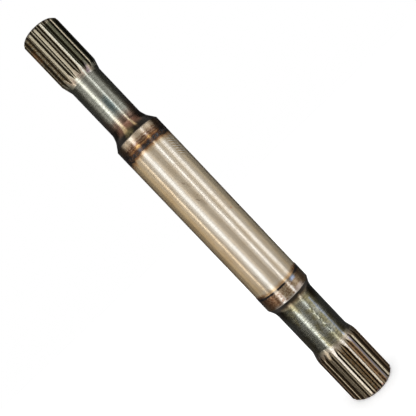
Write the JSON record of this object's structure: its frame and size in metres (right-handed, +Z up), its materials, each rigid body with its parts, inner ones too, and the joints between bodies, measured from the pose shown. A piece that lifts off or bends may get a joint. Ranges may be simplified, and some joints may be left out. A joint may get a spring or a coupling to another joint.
{
  "type": "splined drive shaft",
  "caption": "Turned steel drive shaft with a ground body, tapered necks and an involute spline at each end, the lower one larger, standing on that end.",
  "frame": {"origin": "centre of the larger splined end's face, on which the shaft stands", "axes": "+Z up the shaft's axis towards the smaller spline; +X and +Y across it"},
  "size_m": [0.031, 0.031, 0.2794],
  "materials": {
    "hardened_steel": "ground body, oxide-dark necks, heat-tint rings at the shoulders, oily worn splines"
  },
  "bodies": {
    "root": {"splined_shaft": "hardened_steel"}
  },
  "joints": []
}
